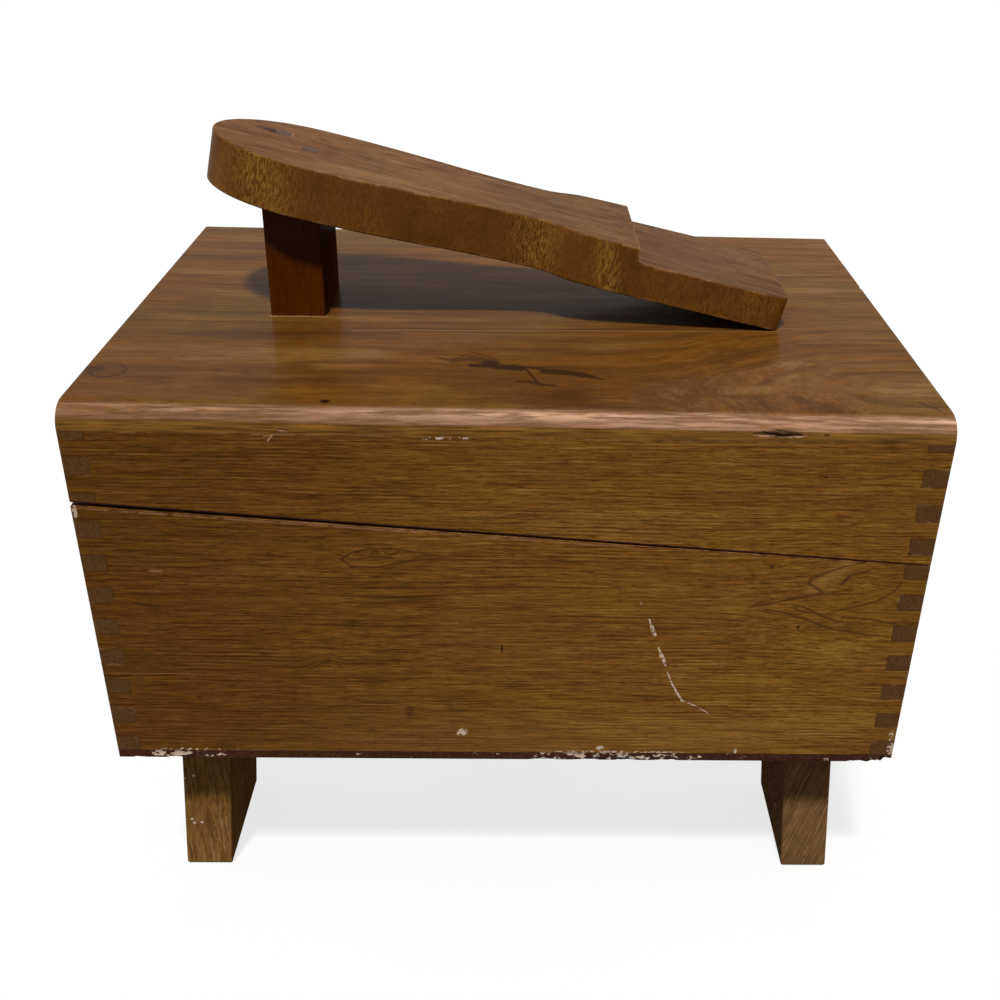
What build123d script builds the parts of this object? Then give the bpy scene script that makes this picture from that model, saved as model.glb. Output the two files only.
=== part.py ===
"""Wooden shoe shine box: a finger-jointed case on four splayed legs, sawn on a slant
into a base and a hinged lid, with a shoe-shaped footrest on a post above the lid.

Millimetres, +Z up. The origin is on the floor, under the middle of the whole object.
The front is at -Y, and the lid is hinged at the left end, at -X.
"""
from build123d import *
from math import asin, cos, degrees, radians, sin, tan
import os

# --- case -------------------------------------------------------------------
box_width = 420.0            # outside, left to right
box_depth = 301.0            # outside, front to back
glued_height = 211.0         # underside of the panel to the top, before the case is sawn
board_thickness = 12.7
top_thickness = 12.0
panel_thickness = 5.0
finger_height = 9.5          # one finger of the corner joints
top_edge_radius = 12.0       # long edges of the top, front and back
corner_easing = 0.8          # upright corners and the ends of the top
rim_easing = 0.6             # outer edges of the two sawn rims

# --- slanted saw cut ---------------------------------------------------------
base_end_height = 126.3      # low right end of the base's rim, above the panel's underside
cut_angle = 4.0              # degrees, the rim rises towards the left
saw_kerf = 5.4               # height of wood lost to the saw and the plane
rest_gap = 0.3               # between the rims at the right end when the lid is shut

# --- legs --------------------------------------------------------------------
leg_height = 107.0
leg_thickness = 27.0         # square to its splayed faces
leg_depth = 72.0
leg_splay = 5.0              # degrees, outwards from top to foot
leg_end_inset = 26.0         # from the end of the case to the top of the leg
leg_front_inset = 26.0       # from the front or back of the case
leg_foot_radius = 2.5
leg_edge_radius = 1.2

# --- hinges ------------------------------------------------------------------
hinge_length = 38.0
hinge_inset = 55.5           # from the front or back of the case to the hinge's middle
leaf_thickness = 0.9
leaf_width = 11.0            # the part that lies on the wood
leaf_gap = 0.2               # between the two leaves when shut
knuckle_count = 5
knuckle_diameter = 4.4
knuckle_gap = 0.15           # between neighbouring knuckles
pin_diameter = 2.4
pin_clearance = 0.05         # radial, in the turning knuckles
pin_seat_clearance = 0.01    # radial, in the knuckles that hold the pin
barrel_clearance = 0.2       # between the barrel and the end of the case

# --- footrest ----------------------------------------------------------------
post_width = 30.0
post_depth = 53.0
post_center_x = -118.8       # from the middle of the case
post_edge_radius = 1.2
rest_angle = 12.85           # degrees, slope of the footrest on the lid
rest_turn = 0.75             # degrees, the toe stands this much to the front
rest_seat_x = 143.7          # where its underside meets the lid, from the middle of the case
rest_seat_y = 5.0            # middle of the heel, from the middle of the case
rest_thickness = 27.0
rest_length = 320.0          # heel end to toe, along the slope
heel_overhang = 1.5          # heel end beyond the seat line
heel_length = 87.0
heel_step = 8.0              # the heel lies this much below the sole
heel_cove_radius = 4.0
heel_end_half_width = 42.7
heel_front_half_width = 41.7
heel_corner_radius = 7.0
shank_half_width = 40.1      # where the waist begins
shank_from_heel = 114.0
waist_half_width = 32.0      # narrowest
waist_from_heel = 140.0
ball_half_width = 43.0       # widest
toe_length = 54.5            # the rounded end, half an ellipse
rest_edge_radius = 0.8

# --- fasteners ---------------------------------------------------------------
screw_tip = 4.0
slot_width = 1.0
slot_depth = 0.9
leg_screw = {"shank": 4.2, "head": 8.0, "head_height": 2.6, "length": 38.0}
leg_screw_spacing = 36.0
post_screw = {"shank": 4.2, "head": 8.0, "head_height": 2.6, "length": 38.0}
post_screw_spacing = 26.0
rest_screw = {"shank": 4.2, "head": 8.0, "head_height": 2.6, "length": 42.0}
rest_screw_spacing_x = 17.0  # the two stand on a diagonal over the post
rest_screw_spacing_y = 20.0
rest_screw_offset_y = 7.0    # their middle, from the middle of the post
plug_depth = 5.0             # dark filler over their heads
plug_diameter = 9.0
heel_screw = {"shank": 3.5, "head": 7.0, "head_height": 2.3, "length": 27.0}
heel_screw_spacing = 44.0
heel_screw_setback = 8.0     # from the seat line
hinge_screw = {"shank": 2.4, "head": 4.8, "head_height": 1.5, "length": 11.0}
hinge_screw_spacing = 24.0
nail_shank = 1.6
nail_head = 4.0
nail_head_height = 0.8
nail_length = 24.0
nails_along_front = 6
nails_along_end = 4
nail_margin = 24.0           # from the corner of the case to the first nail of the front
nail_end_margin = 48.0       # from the corner of the case to the first nail of an end

# --- worked out from the sizes above -------------------------------------------
half_width = box_width / 2
half_depth = box_depth / 2
inner_x = half_width - board_thickness
inner_y = half_depth - board_thickness
underside_z = leg_height                              # of the whole case
wall_bottom_z = underside_z + panel_thickness
top_z = underside_z + glued_height                    # of the lid, as glued
top_seam_z = top_z - top_thickness
reach = 2 * (box_width + box_depth + glued_height)    # larger than anything here
knuckle_radius = knuckle_diameter / 2
pin_radius = pin_diameter / 2
hinge_x = -half_width - barrel_clearance - knuckle_radius
hinge_end_gap = 2 * leaf_thickness + leaf_gap         # between the rims at the hinged end
lid_tilt = degrees(asin((hinge_end_gap - rest_gap) / box_width))
leg_level_width = leg_thickness / cos(radians(leg_splay))
leg_top_x = half_width - leg_end_inset - leg_level_width / 2
leg_center_y = half_depth - leg_front_inset - leg_depth / 2


def block(x_low, x_high, y_low, y_high, z_low, z_high):
    """A plain box between two corners."""
    middle = Pos((x_low + x_high) / 2, (y_low + y_high) / 2, (z_low + z_high) / 2)
    return middle * Box(x_high - x_low, y_high - y_low, z_high - z_low)


# --- case ----------------------------------------------------------------------

def base_rim_z(x):
    """Height of the base's sawn rim at x."""
    return underside_z + base_end_height + (half_width - x) * tan(radians(cut_angle))


def lid_place():
    """Brings what is built on the glued case down over the saw cut, tilted by the hinges."""
    pivot_z = base_rim_z(half_width) + rest_gap
    to_pivot = Pos(half_width, 0, pivot_z)
    from_pivot = Pos(-half_width, 0, -pivot_z)
    return to_pivot * Rot(0, lid_tilt, 0) * from_pivot * Pos(0, 0, rest_gap - saw_kerf)


def below_saw_cut(lift):
    """All the space under the saw cut's lower face, raised by lift."""
    z_left = base_rim_z(-reach) + lift
    z_right = base_rim_z(reach) + lift
    outline = Polyline((-reach, -reach), (reach, -reach), (reach, z_right), (-reach, z_left),
                       close=True)
    return extrude(make_face(Plane.XZ * outline), reach, both=True)


def case_block():
    """The glued case as one block, with the long edges of the top rounded."""
    body = block(-half_width, half_width, -half_depth, half_depth, wall_bottom_z, top_z)
    long_edges = body.edges().filter_by(Axis.X).group_by(Axis.Z)[-1]
    body = fillet(long_edges, top_edge_radius)

    def on_end(edge):
        middle = edge.center()
        return abs(middle.X) > half_width - 0.01 and middle.Z > wall_bottom_z + 0.01

    return fillet(body.edges().filter_by(on_end), corner_easing)


def wall_ring(case):
    """The four walls before they are split into boards."""
    hollow = block(-inner_x, inner_x, -inner_y, inner_y, wall_bottom_z, top_seam_z)
    roof = block(-half_width, half_width, -half_depth, half_depth, top_seam_z, top_z)
    return case - hollow - roof


def ease_rim(ring, lift):
    """Eases the outer edges of a rim that lies on the saw cut raised by lift."""
    def on_rim(edge):
        middle = edge.center()
        at_end = abs(middle.X) > half_width - corner_easing
        at_side = abs(middle.Y) > half_depth - corner_easing
        return (at_end or at_side) and abs(middle.Z - base_rim_z(middle.X) - lift) < 0.01

    return fillet(ring.edges().filter_by(on_rim), rim_easing)


def corner_slices(first):
    """Every second level of the four corner columns, from level first up."""
    levels = int((top_seam_z - wall_bottom_z) / finger_height) + 1
    slices = []
    for level in range(first, levels, 2):
        z_low = wall_bottom_z + level * finger_height
        z_high = z_low + finger_height
        for x_low, x_high in ((-half_width, -inner_x), (inner_x, half_width)):
            slices.append(block(x_low, x_high, -half_depth, -inner_y, z_low, z_high))
            slices.append(block(x_low, x_high, inner_y, half_depth, z_low, z_high))
    return slices


def split_into_boards(ring):
    """The four boards of a ring. The end boards have the lowest finger of each corner."""
    z_low, z_high = wall_bottom_z, top_seam_z
    end_fingers = corner_slices(0)
    side_fingers = corner_slices(1)
    front = ring & block(-half_width, half_width, -half_depth, -inner_y, z_low, z_high)
    back = ring & block(-half_width, half_width, inner_y, half_depth, z_low, z_high)
    left = ring & block(-half_width, -inner_x, -half_depth, half_depth, z_low, z_high)
    right = ring & block(inner_x, half_width, -half_depth, half_depth, z_low, z_high)
    return {"front": front - end_fingers, "back": back - end_fingers,
            "left_end": left - side_fingers, "right_end": right - side_fingers}


def bottom_panel():
    """The thin panel under the walls, flush with them all round."""
    panel = block(-half_width, half_width, -half_depth, half_depth, underside_z, wall_bottom_z)
    return fillet(panel.edges().filter_by(Axis.Z), corner_easing)


# --- fasteners -------------------------------------------------------------------

def screw(size, slotted=True):
    """A flat-head wood screw, its head's face at Z = 0 and its point down. Without its
    slot it is also the hole that it fills."""
    head = size["head"] / 2
    shank = size["shank"] / 2
    outline = Polyline((0, 0), (head, 0), (shank, -size["head_height"]),
                       (shank, screw_tip - size["length"]), (0, -size["length"]), close=True)
    body = revolve(make_face(Plane.XZ * outline), Axis.Z)
    if slotted:
        body -= Pos(0, 0, -slot_depth / 2) * Box(size["head"], slot_width, slot_depth)
    return body


def nail():
    """A wire nail, the face of its head at Z = 0 and its point up."""
    seated = (Align.CENTER, Align.CENTER, Align.MIN)
    head = Cylinder(nail_head / 2, nail_head_height, align=seated)
    return head + Cylinder(nail_shank / 2, nail_length, align=seated)


def nail_places():
    """Where the panel is nailed up into the middle of the walls."""
    x_wall = half_width - board_thickness / 2
    y_wall = half_depth - board_thickness / 2
    x_end = half_width - nail_margin
    y_end = half_depth - nail_end_margin
    places = []
    for number in range(nails_along_front):
        x = x_end * (2 * number / (nails_along_front - 1) - 1)
        places += [Pos(x, side * y_wall, underside_z) for side in (-1, 1)]
    for number in range(nails_along_end):
        y = y_end * (2 * number / (nails_along_end - 1) - 1)
        places += [Pos(side * x_wall, y, underside_z) for side in (-1, 1)]
    return places


# --- legs --------------------------------------------------------------------------

def front_right_leg():
    """A leg splayed outwards, its foot cut level with the floor."""
    lean = leg_height * tan(radians(leg_splay))
    x_outer = leg_top_x + leg_level_width / 2
    x_inner = leg_top_x - leg_level_width / 2
    outline = Polyline((x_inner, leg_height), (x_outer, leg_height), (x_outer + lean, 0),
                       (x_inner + lean, 0), close=True)
    body = extrude(make_face(Plane.XZ * outline), leg_depth / 2, both=True)
    body = fillet(body.edges().group_by(Axis.Z)[0], leg_foot_radius)
    upright = [edge for edge in body.edges() if edge.length > leg_height / 2]
    return Pos(0, -leg_center_y, 0) * fillet(upright, leg_edge_radius)


def leg_screw_places(side_x, side_y):
    """Two screws down through the panel into one leg."""
    y_offsets = (-leg_screw_spacing / 2, leg_screw_spacing / 2)
    return [Pos(side_x * leg_top_x, side_y * leg_center_y + offset, wall_bottom_z)
            for offset in y_offsets]


# --- hinges ------------------------------------------------------------------------

hinge_z = base_rim_z(-half_width) + hinge_end_gap / 2


def knuckle_spans(first):
    """Where along the hinge every second knuckle lies, from knuckle first on."""
    pitch = hinge_length / knuckle_count
    spans = []
    for number in range(first, knuckle_count, 2):
        low = -hinge_length / 2 + number * pitch
        high = low + pitch
        if number > 0:
            low += knuckle_gap / 2
        if number < knuckle_count - 1:
            high -= knuckle_gap / 2
        spans.append((low, high))
    return spans


def barrel(y_low, y_high, radius):
    """A cylinder on the hinge's axis."""
    middle = Pos(hinge_x, (y_low + y_high) / 2, hinge_z)
    return middle * Rot(90, 0, 0) * Cylinder(radius, y_high - y_low)


def leaf_frame(upper):
    """Frame on a rim at the hinged end: X along the rim, Z out of the wood."""
    frame = Pos(-half_width, 0, base_rim_z(-half_width)) * Rot(0, cut_angle, 0)
    if upper:
        frame = lid_place() * Pos(0, 0, saw_kerf) * frame * Rot(180, 0, 0)
    return frame


def leaf_screw_places(upper):
    """Screws through one leaf into the middle of the wood's edge."""
    return [leaf_frame(upper) * Pos(board_thickness / 2, offset, leaf_thickness)
            for offset in (-hinge_screw_spacing / 2, hinge_screw_spacing / 2)]


def hinge_leaf(upper):
    """One leaf with its knuckles, about the middle of the hinge."""
    frame = leaf_frame(upper)
    half_length = hinge_length / 2
    to_axis = barrel_clearance + knuckle_radius
    leaf = frame * block(0, leaf_width, -half_length, half_length, 0, leaf_thickness)
    for low, high in knuckle_spans(1 if upper else 0):
        leaf += frame * block(-to_axis, leaf_thickness, low, high, 0, leaf_thickness)
        leaf += barrel(low, high, knuckle_radius)
    leaf -= barrel(-hinge_length, hinge_length,
                   pin_radius + (pin_clearance if upper else pin_seat_clearance))
    return leaf - [place * screw(hinge_screw, slotted=False) for place in leaf_screw_places(upper)]


def hinge_pin():
    """The pin, its ends eased."""
    pin = barrel(-hinge_length / 2, hinge_length / 2, pin_radius)
    return chamfer(pin.edges().filter_by(GeomType.CIRCLE), pin_radius / 5)


# --- footrest ----------------------------------------------------------------------

def rest_place():
    """Frame of the footrest on the glued case: X runs up the slope from the seat line to
    the toe, Z is square to the board, and its underside is at Z = 0."""
    return Pos(rest_seat_x, rest_seat_y, top_z) * Rot(0, rest_angle, 0) * Rot(0, 0, 180 + rest_turn)


def rest_z(x, offset):
    """Height at x of the plane that lies offset above the footrest's underside."""
    slope = radians(rest_angle)
    return top_z + (rest_seat_x - x) * tan(slope) + offset / cos(slope)


def sole_outline():
    """The footrest's outline, in its own frame."""
    heel_x = -heel_overhang
    step = (heel_x + heel_length, heel_front_half_width)
    shank = (heel_x + shank_from_heel, shank_half_width)
    waist = (heel_x + waist_from_heel, waist_half_width)
    toe_x = heel_x + rest_length
    ball = (toe_x - toe_length, ball_half_width)
    heel_taper = (heel_length, heel_front_half_width - heel_end_half_width)
    edges = [
        Line((heel_x, 0), (heel_x, heel_end_half_width)),
        Line((heel_x, heel_end_half_width), step),
        Spline(step, shank, waist, ball, tangents=[heel_taper, (1, -0.1), (1, 0), (1, 0)]),
        EllipticalCenterArc((ball[0], 0), toe_length, ball_half_width),
        Line((heel_x, 0), (toe_x, 0)),
    ]
    half = make_face(edges)
    return half + mirror(half, Plane.XZ)


def whole_rest_board():
    """The shoe-shaped board in its own frame, with its heel recess, before it is seated."""
    heel_x = -heel_overhang
    step_x = heel_x + heel_length
    heel_z = rest_thickness - heel_step
    board = extrude(sole_outline(), rest_thickness)
    board = fillet(board.edges().filter_by(Axis.Z).group_by(Axis.X)[0], heel_corner_radius)
    recess = block(heel_x - heel_length, step_x, -half_depth, half_depth,
                   heel_z, rest_thickness + heel_step)
    foot_of_step = recess.edges().filter_by(Axis.Y).group_by(Axis.Z)[0].sort_by(Axis.X)[-1]
    board -= fillet(foot_of_step, heel_cove_radius)

    def is_rim(edge):
        size = edge.bounding_box().size
        middle = edge.center()
        if size.Z < 0.01:
            across_cove = size.X < 0.01 and abs(middle.X - step_x + heel_cove_radius) < 0.01
            return not across_cove and abs(middle.X - step_x) + abs(middle.Z - heel_z) > 0.02
        return abs(middle.X - step_x) < heel_cove_radius and middle.Z > heel_z

    return fillet(board.edges().filter_by(is_rim), rest_edge_radius)


def footrest_board():
    """The board on the glued case, its heel end planed flat where it sits on the lid."""
    return rest_place() * whole_rest_board() - block(-reach, reach, -reach, reach, 0, top_z)


def footrest_post():
    """The post between the lid's top and the sloping board."""
    x_low = post_center_x - post_width / 2
    x_high = post_center_x + post_width / 2
    outline = Polyline((x_low, top_z), (x_high, top_z), (x_high, rest_z(x_high, 0)),
                       (x_low, rest_z(x_low, 0)), close=True)
    post = extrude(make_face(Plane.XZ * outline), post_depth / 2, both=True)
    return fillet(post.edges().filter_by(Axis.Z), post_edge_radius)


def post_screw_places():
    """Two screws up through the lid's top into the post."""
    return [Pos(post_center_x, offset, top_seam_z) * Rot(180, 0, 0)
            for offset in (-post_screw_spacing / 2, post_screw_spacing / 2)]


def heel_screw_places():
    """Two screws up through the lid's top into the heel."""
    x = rest_seat_x - heel_screw_setback
    return [Pos(x, rest_seat_y + offset, top_seam_z) * Rot(180, 0, 0)
            for offset in (-heel_screw_spacing / 2, heel_screw_spacing / 2)]


def rest_screw_places():
    """Two screws straight down through the board into the post, under their plugs."""
    places = []
    for side in (-1, 1):
        x = post_center_x + side * rest_screw_spacing_x / 2
        y = rest_screw_offset_y - side * rest_screw_spacing_y / 2
        places.append(Pos(x, y, rest_z(x, rest_thickness) - plug_depth))
    return places


def plug_blank():
    """A filling over a screw head, longer than its hole is deep."""
    return Cylinder(plug_diameter / 2, 2 * plug_depth, align=(Align.CENTER, Align.CENTER, Align.MIN))


# --- assembly -----------------------------------------------------------------------

def screws_at(places, size):
    """Slotted screws in all the places."""
    return [place * screw(size) for place in places]


def holes_at(places, size):
    """The holes that such screws fill."""
    return [place * screw(size, slotted=False) for place in places]


def mirrored_legs():
    """The four legs, by name."""
    right = front_right_leg()
    left = mirror(right, Plane.YZ)
    return {"leg_front_right": right, "leg_front_left": left,
            "leg_back_right": mirror(right, Plane.XZ), "leg_back_left": mirror(left, Plane.XZ)}


hinge_sides = {"front": hinge_inset - half_depth, "back": half_depth - hinge_inset}
base_hinge_places = [Pos(0, y, 0) * place
                     for y in hinge_sides.values() for place in leaf_screw_places(False)]
lid_hinge_places = [Pos(0, y, 0) * place
                    for y in hinge_sides.values() for place in leaf_screw_places(True)]
leg_places = [place for side_x in (-1, 1) for side_y in (-1, 1)
              for place in leg_screw_places(side_x, side_y)]
nails = [place * nail() for place in nail_places()]

case = case_block()
ring = wall_ring(case)
parts = {}

# base
for name, board in split_into_boards(ease_rim(ring & below_saw_cut(0), 0)).items():
    board -= nails
    if name == "left_end":
        board -= holes_at(base_hinge_places, hinge_screw)
    parts[f"base_{name}_board"] = board
parts["bottom_panel"] = bottom_panel() - nails - holes_at(leg_places, leg_screw)
parts["bottom_panel_nails"] = Compound(nails)
for name, leg in mirrored_legs().items():
    parts[name] = leg - holes_at(leg_places, leg_screw)
parts["leg_screws"] = Compound(screws_at(leg_places, leg_screw))
for side, y in hinge_sides.items():
    parts[f"hinge_{side}_base_leaf"] = Pos(0, y, 0) * hinge_leaf(False)
    parts[f"hinge_{side}_pin"] = Pos(0, y, 0) * hinge_pin()
parts["hinge_base_screws"] = Compound(screws_at(base_hinge_places, hinge_screw))

# lid, with what stands on the glued case brought down onto the base
lid_on_case = {}
lid_boards = split_into_boards(ease_rim(ring - below_saw_cut(saw_kerf), saw_kerf))
for name, board in lid_boards.items():
    lid_on_case[f"lid_{name}_board"] = board
top_board = case & block(-half_width, half_width, -half_depth, half_depth, top_seam_z, top_z)
post_holes = holes_at(post_screw_places(), post_screw)
heel_holes = holes_at(heel_screw_places(), heel_screw)
rest_holes = holes_at(rest_screw_places(), rest_screw)
plug_blanks = [place * plug_blank() for place in rest_screw_places()]
seated_board = footrest_board()
lid_on_case["lid_top_board"] = top_board - post_holes - heel_holes
lid_on_case["footrest_post"] = footrest_post() - post_holes - rest_holes
lid_on_case["footrest_board"] = seated_board - heel_holes - rest_holes - plug_blanks
lid_on_case["footrest_screw_plugs"] = Compound([(seated_board & blank).solid() for blank in plug_blanks])
lid_on_case["footrest_screws"] = Compound(screws_at(rest_screw_places(), rest_screw))
lid_on_case["post_screws"] = Compound(screws_at(post_screw_places(), post_screw))
lid_on_case["heel_screws"] = Compound(screws_at(heel_screw_places(), heel_screw))
for name, piece in lid_on_case.items():
    piece = lid_place() * piece
    if name == "lid_left_end_board":
        piece -= holes_at(lid_hinge_places, hinge_screw)
    parts[name] = piece
for side, y in hinge_sides.items():
    parts[f"hinge_{side}_lid_leaf"] = Pos(0, y, 0) * hinge_leaf(True)
parts["hinge_lid_screws"] = Compound(screws_at(lid_hinge_places, hinge_screw))

# The barrels stand out at the left, and the tilted lid leans out a little at the right.
lid_end_height = top_z - corner_easing - saw_kerf - base_rim_z(half_width)
lid_lean = lid_end_height * sin(radians(lid_tilt))
center_shift = (barrel_clearance + knuckle_diameter - lid_lean) / 2

os.makedirs("parts", exist_ok=True)
for name, piece in parts.items():
    export_step(Pos(center_shift, 0, 0) * piece, f"parts/{name}.step")
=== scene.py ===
import bpy
from itertools import groupby
from math import atan2, cos, hypot, radians, sin
from mathutils import Matrix, Vector


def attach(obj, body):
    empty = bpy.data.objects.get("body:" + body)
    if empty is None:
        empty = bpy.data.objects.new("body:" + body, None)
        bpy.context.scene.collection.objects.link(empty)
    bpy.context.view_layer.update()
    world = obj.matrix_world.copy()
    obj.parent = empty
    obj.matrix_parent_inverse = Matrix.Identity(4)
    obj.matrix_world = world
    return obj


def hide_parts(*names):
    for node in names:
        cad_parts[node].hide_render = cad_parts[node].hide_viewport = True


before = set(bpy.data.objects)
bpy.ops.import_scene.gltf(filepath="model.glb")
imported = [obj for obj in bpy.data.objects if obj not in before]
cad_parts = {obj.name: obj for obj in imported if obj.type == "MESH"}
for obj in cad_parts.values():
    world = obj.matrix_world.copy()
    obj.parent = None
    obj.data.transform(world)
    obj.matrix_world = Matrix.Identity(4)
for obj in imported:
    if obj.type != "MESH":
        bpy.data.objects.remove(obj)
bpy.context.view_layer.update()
scene = bpy.context.scene

# Camera

camera = {
    "place": (0.0094, -0.6436, 0.5451),
    "pitchDown": 28.29,
    "yawRight": 1.46,
    "roll": 1.36,
    "lens": 42.41,
    "sensor": 36.0,
    "shift": (-0.051, -0.0195),
}


def addCamera(camera):
    pitch, yaw, roll = (radians(camera[key]) for key in ("pitchDown", "yawRight", "roll"))
    ahead = Vector((sin(yaw) * cos(pitch), cos(yaw) * cos(pitch), -sin(pitch)))
    right = Vector((cos(yaw), -sin(yaw), 0))
    up = right.cross(ahead)
    turnedRight = cos(roll) * right + sin(roll) * up
    turnedUp = cos(roll) * up - sin(roll) * right
    bpy.ops.object.camera_add(location=camera["place"])
    cam = bpy.context.object
    cam.rotation_euler = Matrix((turnedRight, turnedUp, -ahead)).transposed().to_euler()
    cam.data.lens = camera["lens"]
    cam.data.sensor_width = camera["sensor"]
    cam.data.shift_x, cam.data.shift_y = camera["shift"]
    cam.data.clip_start = 0.01
    scene.camera = cam
    print("camera placed")


addCamera(camera)

# Small helpers for materials


def startMaterial(name):
    material = bpy.data.materials.new(name)
    material.use_nodes = True
    material.node_tree.nodes.clear()
    return material, material.node_tree


def addNode(tree, kind, inputs=None, **settings):
    made = tree.nodes.new("ShaderNode" + kind)
    for key, value in settings.items():
        setattr(made, key, value)
    for key, value in (inputs or {}).items():
        if isinstance(value, bpy.types.NodeSocket):
            tree.links.new(value, made.inputs[key])
        else:
            made.inputs[key].default_value = value
    return made


def calc(tree, operation, first, second=0.0, clamp=False):
    return addNode(tree, "Math", {0: first, 1: second}, operation=operation, use_clamp=clamp).outputs[0]


def fit(tree, value, fromLow, fromHigh, toLow=0.0, toHigh=1.0, kind="SMOOTHSTEP"):
    return addNode(tree, "MapRange", {0: value, 1: fromLow, 2: fromHigh, 3: toLow, 4: toHigh},
                   interpolation_type=kind).outputs[0]


def paint(tree, amount, below, shade):
    if not isinstance(shade, bpy.types.NodeSocket):
        shade = (*shade, 1.0)
    if not isinstance(below, bpy.types.NodeSocket):
        below = (*below, 1.0)
    made = addNode(tree, "Mix", {0: amount, 6: below, 7: shade}, data_type="RGBA")
    return made.outputs[2]


def brighten(tree, shade, amount):
    return addNode(tree, "VectorMath", {0: shade, "Scale": amount}, operation="SCALE").outputs[0]


def noise(tree, coords, scale, detail=2.0, roughness=0.5, place=(0, 0, 0)):
    spread = addNode(tree, "Mapping", {"Vector": coords, "Location": place, "Scale": scale}).outputs[0]
    return addNode(tree, "TexNoise", {"Vector": spread, "Scale": 1.0, "Detail": detail,
                                      "Roughness": roughness}).outputs[0]


# Marks on the wood, in millimetres

faces = {"front": -150.5, "top": 314.0}          # where the faces lie, in y and in z


# A soft spot on one face: an oval, or a line with round ends. It is 1 in its middle and 0 outside.
# With a ring, it is only the oval's rim. A mark with "around" lies round that place instead of on a face.
def spot(tree, coords, mark):
    if "to" in mark:
        (x1, y1), (x2, y2) = mark["at"], mark["to"]
        at = ((x1 + x2) / 2, (y1 + y2) / 2)
        size = (mark["width"] / 2, mark["width"] / 2)
        half = hypot(x2 - x1, y2 - y1) / mark["width"]
        turn = atan2(y2 - y1, x2 - x1)
    else:
        at, size, turn, half = mark.get("at", (0, 0)), mark["size"], radians(mark.get("turn", 0)), 0
    thick = mark.get("thick", 4.0)
    if mark.get("face") == "front":
        place, spin, scale = (at[0], faces["front"], at[1]), (0, -turn, 0), (size[0], thick, size[1])
    else:
        place, spin, scale = (*at, faces["top"]), (0, 0, turn), (*size, thick)
    place = mark.get("around", place)
    local = addNode(tree, "Mapping", {"Vector": coords, "Location": [value / 1000 for value in place],
                                      "Rotation": spin, "Scale": [value / 1000 for value in scale]},
                    vector_type="TEXTURE").outputs[0]
    if half:
        x, y, z = addNode(tree, "SeparateXYZ", {0: local}).outputs
        past = calc(tree, "MAXIMUM", calc(tree, "SUBTRACT", calc(tree, "ABSOLUTE", x), half), 0.0)
        local = addNode(tree, "CombineXYZ", {0: past, 1: y, 2: z}).outputs[0]
    away = addNode(tree, "VectorMath", {0: local}, operation="LENGTH").outputs[1]
    if "ring" in mark:
        away = calc(tree, "ABSOLUTE", calc(tree, "SUBTRACT", away, 1.0))
        return fit(tree, away, mark["ring"], mark["ring"] * 0.2)
    return fit(tree, away, 1.0, 1.0 - mark.get("soft", 0.4))


# One mark for each run of a line, which may change its width on the way
def strokes(points, widths, shade, **more):
    if not isinstance(widths, tuple):
        widths = (widths,) * (len(points) - 1)
    return [{"at": start, "to": end, "width": width, "shade": shade, **more}
            for start, end, width in zip(points, points[1:], widths)]


def onFront(marks):
    return [{**mark, "face": "front"} for mark in marks]


# Marks of one shade that follow each other are joined before they are painted
def paintMarks(tree, coords, base, marks):
    crumbsOf = {}
    for shade, together in groupby(marks, key=lambda mark: mark["shade"]):
        joined = None
        for mark in together:
            amount = calc(tree, "MULTIPLY", spot(tree, coords, mark), mark.get("strength", 0.8))
            if "crumbs" in mark:
                grain = mark.get("grain", 500)
                if grain not in crumbsOf:
                    crumbsOf[grain] = noise(tree, coords, (grain,) * 3, detail=3.0, roughness=0.6)
                low = 0.62 - 0.35 * mark["crumbs"]
                amount = calc(tree, "MULTIPLY", amount, fit(tree, crumbsOf[grain], low, low + 0.08))
            joined = calc(tree, "MAXIMUM", joined, amount) if joined else amount
        base = paint(tree, joined, base, shade)
    return base


# Varnished wood. Lengths in a look are in metres and scales are per metre, first along the grain.

grainTurns = {"X": (0, 0, 0), "Y": (0, 0, radians(-90)), "Z": (0, radians(90), 0)}
restSlope = radians(12.85)                       # how far the footrest falls towards its heel
evenTone = (-0.2, 0.2, (1, 1, 1), (1, 1, 1))     # a piece as light at its left as at its right

caseLook = {
    "along": "X",
    "offset": (0.0, 0.0, 0.0),
    "heart": (-0.1385, 0.209),                   # where the middle of the trunk was, across the grain
    "rise": (0.08, 0.23, (0.008, 0.0)),          # from where to where it nears the face, and how far
    "wave": (10, 34, 0.0019),                    # scale along and across, and how far lines sway
    "ringWidth": 0.0021, "ringWander": 0.8, "ringDark": 0.7, "ringSharp": 0.6,
    "fine": (32, 900), "fineDark": 0.72, "fineLight": 0.6,
    "hair": (95, 2100), "hairDark": 0.6,
    "band": (4, 70), "bandDark": 0.2, "bandLight": 0.26,
    "pores": (150, 2400), "poresDark": 0.7,
    "wander": (4, 25, 25), "strong": (12, 150, 60),                # where rings sway, and where they show
    "cloud": (9, 9, 18), "speck": (60, 60, 90), "mottle": 0.11,
    "tone": (-0.21, 0.12, (0.72, 0.62, 0.5), (1.2, 1.2, 1.06)),    # from left to right
    "plain": (0.155, 0.072, 0.0088), "warm": (0.152, 0.063, 0.0098),
    "dark": (0.038, 0.0145, 0.0024), "pale": (0.27, 0.15, 0.036),
    "endPlain": (0.094, 0.044, 0.0135), "endDark": (0.066, 0.028, 0.008),
    "bare": (0.33, 0.2, 0.105), "wear": 0.4, "wearWidth": 0.0013, "wearFrom": 0.53,
    "edgeGrime": 0.4,
    "rough": 0.42, "bump": 0.25, "gloss": 0.03, "coat": 0.03, "coatRough": 0.22,
}


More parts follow.
